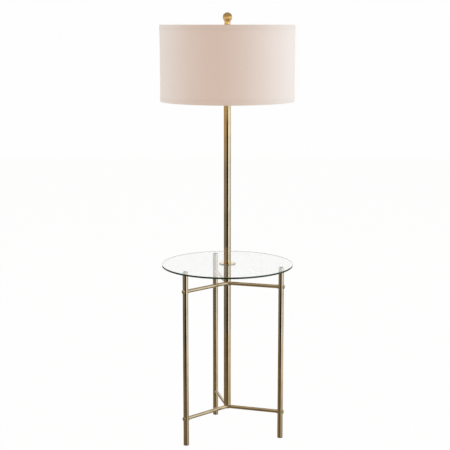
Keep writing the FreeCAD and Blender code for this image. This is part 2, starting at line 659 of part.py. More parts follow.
def terminal_screws():
    """The screws in the sides of the holder that clamp the conductors."""
    screw = terminal_shape(0, HOLDER_RADIUS)
    return Part.makeCompound([swung(screw, angle) for angle in TERMINAL_ANGLES])


def socket_body():
    """Moulded holder that carries the contacts and the switch."""
    body = Part.makeCylinder(HOLDER_RADIUS, HOLDER_HEIGHT, Vector(0, 0, HOLDER_BOTTOM))
    shaft_room = radial_cylinder(SWITCH_SHAFT_DIAMETER / 2 + SLIDE_CLEARANCE,
                                 HOLDER_RADIUS - SWITCH_SHAFT_GRIP, HOLDER_RADIUS + CUT_OVERSHOOT,
                                 SWITCH_HEIGHT)
    body = body.cut(towards_switch(shaft_room))
    screw_room = terminal_shape(PRESS_CLEARANCE, HOLDER_RADIUS + CUT_OVERSHOOT)
    for angle in TERMINAL_ANGLES:
        body = body.cut(swung(screw_room, angle))
    return body


def socket_screw_shell():
    """Thin threaded shell that takes the bulb's base."""
    inner = SCREW_SHELL_BORE / 2
    return tube(inner + SCREW_SHELL_WALL, inner, HOLDER_TOP, SHELL_TOP - SCREW_SHELL_WALL)


def socket_contact():
    """Centre contact below the bulb."""
    return Part.makeCylinder(CONTACT_DIAMETER / 2, CONTACT_HEIGHT, Vector(0, 0, HOLDER_TOP))


def socket_leads():
    """The lead's two conductors, from its end to below the terminals."""
    start_height = SOCKET_BOTTOM + SOCKET_NECK_HEIGHT
    reach = HOLDER_RADIUS - TERMINAL_HEAD - TERMINAL_SHANK
    leads = []
    for side in (-1, 1):
        start = Vector(side * CONDUCTOR_SPACING / 2, 0, start_height)
        end = Vector(side * reach, 0, HOLDER_BOTTOM)
        middle = (start.z + end.z) / 2
        route = [start, Vector(start.x, 0, middle - CONDUCTOR_BEND_RADIUS / 2),
                 Vector(end.x, 0, middle + CONDUCTOR_BEND_RADIUS / 2), end]
        leads.append(bent_rod(route, CONDUCTOR_BEND_RADIUS, CONDUCTOR_DIAMETER / 2))
    return Part.makeCompound(leads)


def switch_shaft():
    """Shaft of the turn switch, from inside the holder into the knob."""
    start = HOLDER_RADIUS - SWITCH_SHAFT_GRIP + TURN_CLEARANCE
    return towards_switch(radial_cylinder(SWITCH_SHAFT_DIAMETER / 2, start, KNOB_START + KNOB_LENGTH / 2,
                                          SWITCH_HEIGHT))


def switch_knob():
    """Fluted knob on the switch's shaft."""
    knob = Part.makeCylinder(KNOB_DIAMETER / 2, KNOB_LENGTH)
    knob = knob.makeFillet(KNOB_EDGE_RADIUS, outer_rims(knob, KNOB_DIAMETER / 2, KNOB_LENGTH))
    for i in range(KNOB_FLUTES):
        angle = 2 * math.pi * i / KNOB_FLUTES
        centre = Vector(math.cos(angle), math.sin(angle), 0) * (KNOB_DIAMETER / 2)
        knob = knob.cut(Part.makeCylinder(KNOB_FLUTE_DIAMETER / 2, KNOB_LENGTH, centre))
    knob = knob.cut(Part.makeCylinder(SWITCH_SHAFT_DIAMETER / 2 + PRESS_CLEARANCE, KNOB_LENGTH / 2))
    lying = knob.rotated(Vector(0, 0, 0), Vector(0, 1, 0), 90)
    return towards_switch(lying.translated(Vector(KNOB_START, 0, SWITCH_HEIGHT)))


# ---------------------------------------------------------------- bulb
def bulb_side(offset):
    """Outline of the bulb's envelope from its neck to its crown, moved in by a wall's thickness."""
    ball = BULB_DIAMETER / 2 - offset
    centre = BULB_BOTTOM + BULB_LENGTH - BULB_DIAMETER / 2
    neck = BASE_BORE_RADIUS - PRESS_CLEARANCE - offset
    neck_top = BASE_BOTTOM + BASE_HEIGHT
    leave = -math.radians(BULB_NECK_ANGLE)
    side = (ball * math.cos(leave), centre + ball * math.sin(leave))
    waist = ((neck + side[0]) / 2 - (side[0] - neck) * BULB_NECK_DRAW, (neck_top + side[1]) / 2)
    shoulder = (leave + math.pi / 2) / 2
    return [
        (neck, BASE_BOTTOM + BASE_WALL),
        (neck, neck_top),
        (*waist, "arc"),
        side,
        (ball * math.cos(shoulder), centre + ball * math.sin(shoulder), "arc"),
        (0, centre + ball),
    ]


def bulb_glass():
    """Hollow pear-shaped envelope."""
    return turned(bulb_side(0) + list(reversed(bulb_side(BULB_WALL))))


def bulb_base():
    """Thin screw cap with rounded ridges."""
    radius = BASE_DIAMETER / 2
    pitch = (BASE_HEIGHT - BASE_WALL) / (BASE_RIDGES + 1)
    first_ridge = BASE_BOTTOM + pitch / 4
    outline = [(CONTACT_DIAMETER / 2, BASE_BOTTOM), (radius - BASE_RIDGE_DEPTH, BASE_BOTTOM),
               (radius - BASE_RIDGE_DEPTH, first_ridge)]
    for i in range(BASE_RIDGES):
        outline.append((radius, first_ridge + pitch * (i + 0.5), "arc"))
        outline.append((radius - BASE_RIDGE_DEPTH, first_ridge + pitch * (i + 1)))
    top = BASE_BOTTOM + BASE_HEIGHT
    outline += [(radius - BASE_RIDGE_DEPTH, top), (BASE_BORE_RADIUS, top),
                (BASE_BORE_RADIUS, BASE_BOTTOM + BASE_WALL),
                (CONTACT_DIAMETER / 2, BASE_BOTTOM + BASE_WALL)]
    return turned(outline)


def bulb_insulator():
    """Glass insulator between the base and the tip."""
    bottom = BASE_BOTTOM - BULB_INSULATOR_HEIGHT
    return turned([(0, bottom), (BULB_TIP_DIAMETER / 2, bottom),
                   (BASE_BORE_RADIUS, BASE_BOTTOM), (0, BASE_BOTTOM)])


def bulb_contact():
    """Tip of the bulb's base."""
    top = BULB_BOTTOM + BULB_TIP_HEIGHT
    return turned([(0, BULB_BOTTOM), (BULB_TIP_FACE_DIAMETER / 2, BULB_BOTTOM),
                   (BULB_TIP_DIAMETER / 2, top), (0, top)])


# ---------------------------------------------------------------- shade
def shade_radius(height):
    """The shade's outer radius at a height: it tapers very slightly."""
    share = (SHADE_TOP - height) / SHADE_HEIGHT
    return (SHADE_DIAMETER - SHADE_TAPER * share) / 2


def shade_band(outer_inset, inner_inset, bottom, top):
    """Ring between two insets from the shade's outside, and between two heights."""
    return turned([
        (shade_radius(bottom) - outer_inset, bottom),
        (shade_radius(top) - outer_inset, top),
        (shade_radius(top) - inner_inset, top),
        (shade_radius(bottom) - inner_inset, bottom),
    ])


def shade_drum():
    """Stiff fabric wall of the shade."""
    return shade_band(DRUM_INSET, DRUM_INSET + SHADE_WALL,
                      SHADE_BOTTOM + TRIM_THICKNESS + PRESS_CLEARANCE,
                      SHADE_TOP - TRIM_THICKNESS - PRESS_CLEARANCE)


def shade_trim(rim, inwards):
    """Band of fabric folded over a rim, round the wall and the ring.

    The rim is its height, and inwards is -1 at the top rim and 1 at the bottom one.
    """
    def band(outer_inset, inner_inset, depth):
        bottom, top = sorted((rim, rim + inwards * depth))
        return shade_band(outer_inset, inner_inset, bottom, top)

    outside = band(0, TRIM_THICKNESS, TRIM_HEIGHT)
    inside = band(RETURN_INSET, RETURN_INSET + TRIM_THICKNESS, TRIM_RETURN)
    edge = band(0, RETURN_INSET + TRIM_THICKNESS, TRIM_THICKNESS)
    return outside.fuse([inside, edge]).removeSplitter()


def shade_ring(height):
    """Wire hoop that keeps a rim of the shade round."""
    return Part.makeTorus(shade_radius(height) - RING_INSET, RING_WIRE_RADIUS, Vector(0, 0, height))


def shade_washer():
    """Washer of the shade's fitter, which sits on the harp."""
    return tube(WASHER_DIAMETER / 2, STUD_RADIUS + TURN_CLEARANCE, WASHER_BOTTOM, WASHER_TOP)


def shade_arms(clearance=0.0):
    """Wire arms from below the washer out to the top ring, with room round them if asked for."""
    ring_height = SHADE_TOP - RING_DROP
    level = WASHER_BOTTOM - ARM_WIRE_DIAMETER / 2
    end = shade_radius(ring_height) - RING_INSET - RING_WIRE_RADIUS - PRESS_CLEARANCE
    route = [Vector(ARM_INNER_RADIUS, 0, level), Vector(ARM_LEVEL_RADIUS, 0, level),
             Vector(end, 0, ring_height)]
    arm = bent_rod(route, ARM_BEND_RADIUS, ARM_WIRE_DIAMETER / 2 + clearance)
    return Part.makeCompound([swung(arm, FIRST_ARM_ANGLE + 360.0 / ARM_COUNT * i)
                              for i in range(ARM_COUNT)])


def shade_top_trim():
    """Trim of the top rim, slit where the arms pass through it."""
    return shade_trim(SHADE_TOP, -1).cut(shade_arms(PRESS_CLEARANCE))


# ---------------------------------------------------------------- finial
def hollow_middle(neck, end):
    """Middle of the arc that stands upright at the neck and flares out to an end."""
    out, along = end[0] - neck[0], end[1] - neck[1]
    radius = (out ** 2 + along ** 2) / (2 * out)
    half_turn = math.asin(along / radius) / 2
    return neck[0] + radius * (1 - math.cos(half_turn)), neck[1] + radius * math.sin(half_turn)


def finial():
    """Ball on a waisted neck, bored from below for the harp's stud."""
    ball_radius = FINIAL_BALL_DIAMETER / 2
    centre = FINIAL_SEAT + FINIAL_BALL_RISE
    leave = -math.radians(FINIAL_NECK_ANGLE)
    side = (leave + math.pi / 2) / 2
    base_edge = (FINIAL_BASE_DIAMETER / 2, FINIAL_SEAT + FINIAL_BASE_HEIGHT)
    neck = (FINIAL_NECK_DIAMETER / 2, FINIAL_SEAT + FINIAL_NECK_RISE)
    ball_edge = (ball_radius * math.cos(leave), centre + ball_radius * math.sin(leave))
    bore_radius = STUD_RADIUS + THREAD_CLEARANCE
    bore_top = HARP_SEAT + STUD_LENGTH + FINIAL_BORE_SPARE
    return turned([
        (bore_radius, FINIAL_SEAT),
        (base_edge[0], FINIAL_SEAT),
        base_edge,
        (*hollow_middle(neck, base_edge), "arc"),
        neck,
        (*hollow_middle(neck, ball_edge), "arc"),
        ball_edge,
        (ball_radius * math.cos(side), centre + ball_radius * math.sin(side), "arc"),
        (0, centre + ball_radius),
        (0, bore_top),
        (bore_radius, bore_top),
    ])


# ---------------------------------------------------------------- the whole lamp
def legs_and_struts():
    """Every leg and strut by name, each turned to its own place."""
    pieces = {}
    for name, angle in zip(LEG_NAMES, LEG_ANGLES):
        pieces[f"leg_{name}"] = swung(leg_tube(), angle)
        for level, height in STRUT_LEVELS.items():
            pieces[f"{level}_strut_{name}"] = swung(strut(height), angle)
    return pieces


def all_pieces():
    """Every piece of the lamp by name."""
    pieces = legs_and_struts()
    pieces.update({
        "leg_feet": at_each_leg(foot()),
        "leg_top_plugs": at_each_leg(leg_top_plug()),
        "glass_bumpers": at_each_leg(glass_bumper()),
        "strut_inserts": at_both_levels(strut_insert),
        "strut_saddles": at_both_levels(strut_saddle),
        "leg_screws": at_both_levels(leg_screw),
        "lower_hub": hub(LOWER_STRUT_HEIGHT),
        "upper_hub": hub(UPPER_STRUT_HEIGHT),
        "lower_pole": lower_pole(),
        "upper_pole": tube(POLE_RADIUS, POLE_BORE_RADIUS, UPPER_POLE_BOTTOM, UPPER_POLE_TOP),
        "pole_plugs": pole_plugs(),
        "lower_nipple": nipple(LOWER_STRUT_HEIGHT - STRUT_RADIUS + NIPPLE_RECESS,
                               LOWER_POLE_BOTTOM + POLE_PLUG_HEIGHT + NIPPLE_PROUD),
        "middle_nipple": nipple(LOWER_POLE_TOP - POLE_PLUG_HEIGHT - NIPPLE_PROUD,
                                UPPER_POLE_BOTTOM + POLE_PLUG_HEIGHT + NIPPLE_PROUD),
        "top_nipple": nipple(UPPER_POLE_TOP - POLE_PLUG_HEIGHT - NIPPLE_PROUD,
                             SOCKET_BOTTOM + SOCKET_NECK_HEIGHT),
        "pole_cap": pole_cap(),
        "cord_grommet": cord_grommet(),
        "pole_wiring": pole_wiring(),
        "glass_top": glass_top(),
        "flange_gasket": flange_gasket(),
        "glass_flange": glass_flange(),
        "harp_saddle": harp_saddle(),
        "saddle_nut": saddle_nut(),
        "harp": harp(),
        "harp_stud": harp_stud(),
        "harp_sleeve_left": harp_sleeve(-1),
        "harp_sleeve_right": harp_sleeve(1),
        "socket_cap": socket_cap(),
        "socket_shell": socket_shell(),
        "socket_liner": socket_liner(),
        "socket_body": socket_body(),
        "socket_screw_shell": socket_screw_shell(),
        "socket_contact": socket_contact(),
        "terminal_screws": terminal_screws(),
        "socket_leads": socket_leads(),
        "switch_shaft": switch_shaft(),
        "switch_knob": switch_knob(),
        "bulb_glass": bulb_glass(),
        "bulb_base": bulb_base(),
        "bulb_insulator": bulb_insulator(),
        "bulb_contact": bulb_contact(),
        "shade_drum": shade_drum(),
        "shade_top_trim": shade_top_trim(),
        "shade_bottom_trim": shade_trim(SHADE_BOTTOM, 1),
        "shade_top_ring": shade_ring(SHADE_TOP - RING_DROP),
        "shade_bottom_ring": shade_ring(SHADE_BOTTOM + RING_DROP),
        "shade_arms": shade_arms(),
        "shade_washer": shade_washer(),
        "finial": finial(),
    })
    return pieces


os.makedirs("parts", exist_ok=True)
for piece_name, piece in all_pieces().items():
    piece.exportStep(f"parts/{piece_name}.step")
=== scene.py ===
"""Looks of a floor lamp that carries a round glass side table.

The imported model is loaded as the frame. Each sub-assembly is a class: it builds the
meshes that need more than the frame's own, and dresses every node that stays.
Lengths are in metres and angles in degrees. +Z is up, and -Y faces the viewer.
"""

import logging
import math
from dataclasses import dataclass
from enum import Enum
from typing import Iterable, Sequence

import bpy
from mathutils import Euler, Matrix, Vector


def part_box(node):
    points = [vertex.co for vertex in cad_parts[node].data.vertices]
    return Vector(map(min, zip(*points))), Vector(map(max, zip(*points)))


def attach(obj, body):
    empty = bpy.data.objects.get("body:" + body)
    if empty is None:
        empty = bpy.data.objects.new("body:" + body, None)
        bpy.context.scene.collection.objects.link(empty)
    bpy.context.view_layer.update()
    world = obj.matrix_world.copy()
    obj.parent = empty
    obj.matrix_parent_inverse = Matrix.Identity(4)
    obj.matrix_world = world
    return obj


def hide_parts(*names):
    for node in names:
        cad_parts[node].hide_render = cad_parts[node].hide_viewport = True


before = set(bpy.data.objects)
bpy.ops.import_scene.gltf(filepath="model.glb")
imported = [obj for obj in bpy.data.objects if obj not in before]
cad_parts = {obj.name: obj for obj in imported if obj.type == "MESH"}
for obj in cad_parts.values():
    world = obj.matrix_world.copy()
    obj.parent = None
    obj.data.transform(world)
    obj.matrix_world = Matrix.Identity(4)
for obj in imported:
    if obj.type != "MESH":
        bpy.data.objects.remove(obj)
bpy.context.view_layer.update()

LOG = logging.getLogger("lamp")
MM = 0.001

Colour = tuple[float, float, float]
Point = tuple[float, float, float]
Profile = Sequence[tuple[float, float]]
Shader = bpy.types.Node
Socket = bpy.types.NodeSocket

WHITE: Colour = (1.0, 1.0, 1.0)
NOISE_LOW, NOISE_HIGH = 0.3, 0.7


class Body(Enum):
    """Bodies of the frame that new pieces ride on."""

    STAND = "stand"
    SHADE = "shade"


class Slot(Enum):
    """Names of material slots."""

    BRASS = "brass"
    GLASS = "table_glass"
    FABRIC = "shade_fabric"
    TRIM = "shade_trim"


class Node(Enum):
    """Kinds of shader node that the finishes use."""

    PRINCIPLED = "ShaderNodeBsdfPrincipled"
    OUTPUT = "ShaderNodeOutputMaterial"
    COORDINATES = "ShaderNodeTexCoord"
    MAPPING = "ShaderNodeMapping"
    NOISE = "ShaderNodeTexNoise"
    RAMP = "ShaderNodeValToRGB"
    BUMP = "ShaderNodeBump"
    MATHS = "ShaderNodeMath"
    RANGE = "ShaderNodeMapRange"
    SEPARATE = "ShaderNodeSeparateXYZ"
    MIX_SHADER = "ShaderNodeMixShader"
    EMISSION = "ShaderNodeEmission"
    DIFFUSE = "ShaderNodeBsdfDiffuse"
    TRANSPARENT = "ShaderNodeBsdfTransparent"
    LIGHT_PATH = "ShaderNodeLightPath"
    FACING = "ShaderNodeLayerWeight"
    BACKGROUND = "ShaderNodeBackground"
    WORLD_OUTPUT = "ShaderNodeOutputWorld"


class Sum(Enum):
    """What a maths node works out."""

    ADD = "ADD"
    MULTIPLY = "MULTIPLY"
    MULTIPLY_ADD = "MULTIPLY_ADD"
    SINE = "SINE"
    ABSOLUTE = "ABSOLUTE"
    MINIMUM = "MINIMUM"
    MAXIMUM = "MAXIMUM"


# ---------------------------------------------------------------- shader graphs
class Graph:
    """A shader node tree with short ways to add and join nodes."""

    def __init__(self, tree: bpy.types.NodeTree) -> None:
        """Empties the tree.

        Args:
            tree: The node tree of a material or a world.
        """
        self.tree = tree
        tree.nodes.clear()

    def add(self, kind: Node, settings: dict | None = None, **inputs) -> bpy.types.Node:
        """Adds a node.

        Args:
            kind: The node's kind.
            settings: Properties of the node itself.
            inputs: Input sockets by name, with _ for a space, or by _ and their number;
                a socket is linked, and anything else is set as the input's value.

        Returns:
            The new node.
        """
        node = self.tree.nodes.new(kind.value)
        for name, value in (settings or {}).items():
            setattr(node, name, value)
        for name, value in inputs.items():
            by_number = name[1:].isdigit()
            socket = node.inputs[int(name[1:]) if by_number else name.replace("_", " ")]
            if isinstance(value, bpy.types.NodeSocket):
                self.tree.links.new(value, socket)
            else:
                socket.default_value = value
        return node

    def sum(self, operation: Sum, *values: float | Socket) -> Socket:
        """Adds a maths node.

        Args:
            operation: What it works out.
            values: Its inputs, as numbers or sockets.

        Returns:
            The node's output.
        """
        inputs = {f"_{i}": value for i, value in enumerate(values)}
        return self.add(Node.MATHS, {"operation": operation.value}, **inputs).outputs[0]

    def noise(self, vector: Socket, scale: float = 1.0, detail: float = 2.0) -> Socket:
        """Adds a noise texture.

        Args:
            vector: Where the noise is read.
            scale: Its waves per metre, roughly.
            detail: How many finer layers it has.

        Returns:
            The noise's value, from 0 to 1.
        """
        return self.add(Node.NOISE, Vector=vector, Scale=scale, Detail=detail).outputs["Fac"]

    def between(self, value: Socket, low: float, high: float) -> Socket:
        """Maps the stretch that most of a noise's values are in to a range.

        Args:
            value: The noise, or another value from 0 to 1.
            low: Result at the stretch's low end and below.
            high: Result at its high end and above.

        Returns:
            The mapped value.
        """
        node = self.add(Node.RANGE, Value=value, From_Min=NOISE_LOW, From_Max=NOISE_HIGH,
                        To_Min=low, To_Max=high)
        return node.outputs[0]

    def ramp(self, value: Socket, stops: Sequence[tuple[float, Colour]]) -> Socket:
        """Adds a colour ramp.

        Args:
            value: What the ramp reads.
            stops: Positions and their colours, in order.

        Returns:
            The ramp's colour.
        """
        node = self.add(Node.RAMP, Fac=value)
        elements = node.color_ramp.elements
        while len(elements) > 1:
            elements.remove(elements[-1])
        (first_position, first_colour), *others = stops
        elements[0].position, elements[0].color = first_position, opaque(first_colour)
        for position, colour in others:
            elements.new(position).color = opaque(colour)
        return node.outputs["Color"]

    def tones(self, noise: Socket, colour: Colour, low: float, high: float) -> Socket:
        """A colour that a noise makes darker and lighter.

        Args:
            noise: The noise.
            colour: The colour.
            low: Its factor where the noise is low.
            high: Its factor where the noise is high.

        Returns:
            The varied colour.
        """
        return self.ramp(noise, [(NOISE_LOW, toned(colour, low)),
                                 (NOISE_HIGH, toned(colour, high))])

    def stretched(self, stretch: Point = (1.0, 1.0, 1.0), source: str = "Object") -> Socket:
        """Texture coordinates scaled along each axis.

        Args:
            stretch: The scale along X, Y and Z.
            source: Output of the coordinates node to start from.

        Returns:
            The scaled coordinates.
        """
        coordinates = self.add(Node.COORDINATES).outputs[source]
        return self.add(Node.MAPPING, Vector=coordinates, Scale=stretch).outputs[0]

    def axes(self, source: str = "Object") -> Sequence[Socket]:
        """The X, Y and Z of texture coordinates."""
        coordinates = self.add(Node.COORDINATES).outputs[source]
        return self.add(Node.SEPARATE, Vector=coordinates).outputs

    def glow(self, colour: Colour | Socket) -> Shader:
        """Adds a shader that sends out a colour.

        Args:
            colour: The colour, or a socket that gives it.

        Returns:
            The shader.
        """
        if not isinstance(colour, bpy.types.NodeSocket):
            colour = opaque(colour)
        return self.add(Node.EMISSION, Color=colour, Strength=1.0)

    def seen(self) -> Socket:
        """Tells light that ends at the eye from diffuse light.

        Returns:
            1 for rays from the camera, off metal or through glass, and 0 for others.
        """
        path = self.add(Node.LIGHT_PATH).outputs
        bent = self.sum(Sum.MAXIMUM, path["Is Glossy Ray"], path["Is Transmission Ray"])
        return self.sum(Sum.MAXIMUM, path["Is Camera Ray"], bent)

    def mix(self, share: Socket, first: Shader, second: Shader) -> Shader:
        """Mixes two shaders.

        Args:
            share: How much of the second shows, from 0 to 1.
            first: The first shader.
            second: The second shader.

        Returns:
            The mixed shader.
        """
        return self.add(Node.MIX_SHADER, Fac=share, _1=first.outputs[0], _2=second.outputs[0])

    def in_mirrors(self, shader: Shader) -> None:
        """Outputs a shader that only reflections show, also those seen through glass.

        Args:
            shader: The shader.
        """
        mirrors = self.add(Node.LIGHT_PATH).outputs["Glossy Depth"]
        share = self.sum(Sum.MINIMUM, mirrors, 1.0)
        self.output(self.mix(share, self.add(Node.TRANSPARENT), shader))

    def surface(self, bump: Socket | None = None, depth: float = 0.0, **inputs) -> None:
        """Outputs a principled shader.

        Args:
            bump: Height map, if the finish has one.
            depth: The height map's depth.
            inputs: Inputs of the shader.
        """
        if bump is not None:
            relief = self.add(Node.BUMP, Strength=1.0, Distance=depth, Height=bump)
            inputs["Normal"] = relief.outputs[0]
        self.output(self.add(Node.PRINCIPLED, **inputs))

    def output(self, shader: Shader, kind: Node = Node.OUTPUT) -> None:
        """Joins a shader to the tree's output."""
        self.add(kind, Surface=shader.outputs[0])


def toned(colour: Colour, factor: float) -> Colour:
    """A colour times a factor."""
    return tuple(channel * factor for channel in colour)


def opaque(colour: Colour) -> tuple[float, float, float, float]:
    """A colour with full alpha."""
    return (*colour, 1.0)


# ---------------------------------------------------------------- finishes
@dataclass(frozen=True)
class Finish:
    """A finish, made once as a material."""

    name: str

    def paint(self, graph: Graph) -> None:
        """Builds the finish's nodes.

        Args:
            graph: The material's empty graph.
        """
        raise NotImplementedError

    def material(self) -> bpy.types.Material:
        """The finish's material, made at its first use.

        Returns:
            The material.
        """
        made = bpy.data.materials.get(self.name)
        if made is None:
            made = bpy.data.materials.new(self.name)
            made.use_nodes = True
            self.paint(Graph(made.node_tree))
        return made


@dataclass(frozen=True)
class PolishedMetal(Finish):
    """Polished or plated metal with faint polishing lines, thin tarnish and handling marks."""

    colour: Colour
    roughness: float = 0.09
    tarnish: float = 0.82
    brightest: float = 1.04
    cloud_scale: float = 22.0
    smear_scale: float = 160.0
    smear_height: float = 0.4
    smear_roughness: tuple[float, float] = (-0.015, 0.03)
    grain: Point = (900.0, 900.0, 30.0)
    relief: float = 0.0006 * MM

    def paint(self, graph: Graph) -> None:
        """Metal whose colour and roughness wander a little.

        Args:
            graph: The material's empty graph.
        """
        place = graph.stretched()
        clouds = graph.noise(place, self.cloud_scale, detail=5.0)
        smears = graph.noise(place, self.smear_scale)
        lines = graph.noise(graph.stretched(self.grain))
        colour = graph.ramp(clouds, [(0.28, toned(self.colour, self.tarnish)),
                                     (0.55, self.colour),
                                     (0.8, toned(self.colour, self.brightest))])
        cloudy = graph.between(clouds, self.roughness * 1.4, self.roughness * 0.8)
        smeared = graph.between(smears, *self.smear_roughness)
        roughness = graph.sum(Sum.ADD, cloudy, smeared)
        height = graph.sum(Sum.MULTIPLY_ADD, smears, self.smear_height, lines)
        graph.surface(height, self.relief, Base_Color=colour, Metallic=1.0, Roughness=roughness)


@dataclass(frozen=True)
class WovenFabric(Finish):
    """Plain weave on a stiff lining; the UV map is in metres of cloth."""

    colour: Colour
    pitch: float = 0.9 * MM
    slub: float = 0.5
    slubs_across: float = 1400.0
    slubs_along: float = 45.0
    gap_shade: float = 0.86
    thread_highlight: float = 1.03
    relief: float = 0.12 * MM

    def paint(self, graph: Graph) -> None:
        """Threads that pass over and under each other, with slubs and thicker places.

        Args:
            graph: The material's empty graph.
        """
        axes = graph.axes("UV")
        waves = [graph.sum(Sum.SINE, graph.sum(Sum.MULTIPLY, axes[i], math.pi / self.pitch))
                 for i in (0, 1)]
        over = graph.sum(Sum.MULTIPLY, *waves)
        warp, weft = (graph.sum(Sum.MULTIPLY, graph.sum(Sum.ABSOLUTE, wave),
                                graph.sum(Sum.MULTIPLY_ADD, over, side, 0.5))
                      for wave, side in zip(waves, (0.5, -0.5)))
        weave = graph.sum(Sum.MAXIMUM, warp, weft)
        slubs = graph.sum(Sum.MAXIMUM, *(
            graph.noise(graph.stretched(stretch, "UV"))
            for stretch in ((self.slubs_across, self.slubs_along, 1.0),
                            (self.slubs_along, self.slubs_across, 1.0))))
        height = graph.sum(Sum.MULTIPLY_ADD, slubs, self.slub, weave)
        # Painted shade and highlight, with the slubs' random tone: the colour is darker where weave
        # and slubs are low, in the gaps between threads, and lighter where they stand up.
        mean = graph.sum(Sum.MULTIPLY_ADD, slubs, 0.5, graph.sum(Sum.MULTIPLY, weave, 0.5))
        colour = graph.ramp(mean, [(0.1, toned(self.colour, self.gap_shade)), (0.5, self.colour),
                                   (0.9, toned(self.colour, self.thread_highlight))])
        graph.surface(height, self.relief, Base_Color=colour, Roughness=0.88,
                      Sheen_Weight=0.25, Sheen_Roughness=0.5, Specular_IOR_Level=0.25)


@dataclass(frozen=True)
class ClearGlass(Finish):
    """Clear float glass; the share that doesn't let light through is its faint haze."""

    colour: Colour
    clarity: float = 0.94

    def paint(self, graph: Graph) -> None:
        """Clear, flat and smooth glass."""
        graph.surface(Base_Color=opaque(self.colour), Transmission_Weight=self.clarity, IOR=1.5,
                      Roughness=0.0)


@dataclass(frozen=True)
class GroundEdge(Finish):
    """Ground and polished edge of float glass, deep green because it is seen along the sheet."""

    colour: Colour
    grain: Point = (20.0, 20.0, 2500.0)
    relief: float = 0.002 * MM

    def paint(self, graph: Graph) -> None:
        """Dark green glass edge with fine grinding lines round it.

        Args:
            graph: The material's empty graph.
        """
        lines = graph.noise(graph.stretched(self.grain))
        depth = graph.noise(graph.stretched(), scale=9.0, detail=3.0)
        graph.surface(lines, self.relief, Base_Color=graph.tones(depth, self.colour, 0.7, 1.5),
                      Roughness=graph.between(lines, 0.1, 0.2), IOR=1.52, Specular_IOR_Level=0.5)


@dataclass(frozen=True)
class OpalGlass(Finish):
    """White glass of a bulb, glossy over a milky body."""

    colour: Colour
    depth: float = 4.0 * MM

    def paint(self, graph: Graph) -> None:
        """Milky white glass.

        Args:
            graph: The material's empty graph.
        """
        milk = graph.noise(graph.stretched(), scale=60.0, detail=3.0)
        graph.surface(Base_Color=graph.tones(milk, self.colour, 0.97, 1.0),
                      Roughness=graph.between(milk, 0.12, 0.2), IOR=1.5,
                      Subsurface_Weight=0.2, Subsurface_Radius=(self.depth,) * 3)


@dataclass(frozen=True)
class Moulded(Finish):
    """Moulded plastic or rubber with a fine grain."""

    colour: Colour
    roughness: float
    grain: float = 1800.0
    relief: float = 0.02 * MM
    wear: float = 0.08

    def paint(self, graph: Graph) -> None:
        """Plastic or rubber whose grain catches the light.

        Args:
            graph: The material's empty graph.
        """
        place = graph.stretched()
        grain = graph.noise(place, self.grain)
        worn = graph.noise(place, scale=90.0, detail=4.0)
        graph.surface(grain, self.relief, Base_Color=graph.tones(worn, self.colour, 0.85, 1.15),
                      Roughness=graph.between(worn, self.roughness + self.wear,
                                              self.roughness - self.wear))


@dataclass(frozen=True)
class WhiteFloor(Finish):
    """Plain pale floor that shows white and keeps a faint shadow."""

    colour: Colour = (0.86, 0.86, 0.86)
    whiteness: float = 0.965

    def paint(self, graph: Graph) -> None:
        """White to camera, metal and glass, and plain to diffuse light.

        Args:
            graph: The material's empty graph.
        """
        share = graph.sum(Sum.MULTIPLY, graph.seen(), self.whiteness)
        plain = graph.add(Node.DIFFUSE, Color=opaque(self.colour))
        graph.output(graph.mix(share, plain, graph.glow(WHITE)))


@dataclass(frozen=True)
class StudioCard(Finish):
    """Card that only reflections see, with a shade of its own at each of a few heights."""

    shades: Sequence[Colour]
    heights: Sequence[float] = (0.15, 0.8, 1.12, 1.44)
    ramp_height: float = 2.0

    def paint(self, graph: Graph) -> None:
        """Card whose colour changes with height.

        Args:
            graph: The material's empty graph.
        """
        height = graph.sum(Sum.MULTIPLY, graph.axes()[2], 1.0 / self.ramp_height)
        stops = [(at / self.ramp_height, shade) for at, shade in zip(self.heights, self.shades)]
        graph.in_mirrors(graph.glow(graph.ramp(height, stops)))


@dataclass(frozen=True)
class WaxedBoards(Finish):
    """Shiny floor that only reflections see: matt from above, and a mirror at low angles.

    The mirror is best a metre out, and lies over a glow that rises to the back right.
    """

    matt: Colour
    dim: Colour
    lit: Colour
    near: Colour
    far: Colour
    near_reach: float = 0.2
    far_reach: float = 1.0
    glow_way: tuple[float, float] = (0.6, 0.8)
    glow_start: float = 0.1
    glow_end: float = 0.35

    def paint(self, graph: Graph) -> None:
        """Glow, mirror and matt colour, mixed by the angle they are seen at.

        Args:
            graph: The material's empty graph.
        """
        x, y, _ = graph.axes()
        reach_squared = graph.sum(Sum.MULTIPLY_ADD, x, x, graph.sum(Sum.MULTIPLY, y, y))
        sheen = graph.ramp(reach_squared, [(self.near_reach ** 2, self.near),
                                           (self.far_reach ** 2, self.far)])
        towards_x, towards_y = self.glow_way
        back_right = graph.sum(Sum.MULTIPLY_ADD, y, towards_y,
                               graph.sum(Sum.MULTIPLY, x, towards_x))
        glow = graph.ramp(back_right, [(self.glow_start, self.dim), (self.glow_end, self.lit)])
        mirror = graph.add(Node.PRINCIPLED, Base_Color=sheen, Metallic=1.0, Roughness=0.0,
                           Emission_Color=glow, Emission_Strength=1.0)
        lowness = graph.add(Node.FACING, Blend=0.5).outputs["Facing"]
        gloss = graph.between(lowness, 0.0, 1.0)
        graph.in_mirrors(graph.mix(gloss, graph.glow(self.matt), mirror))


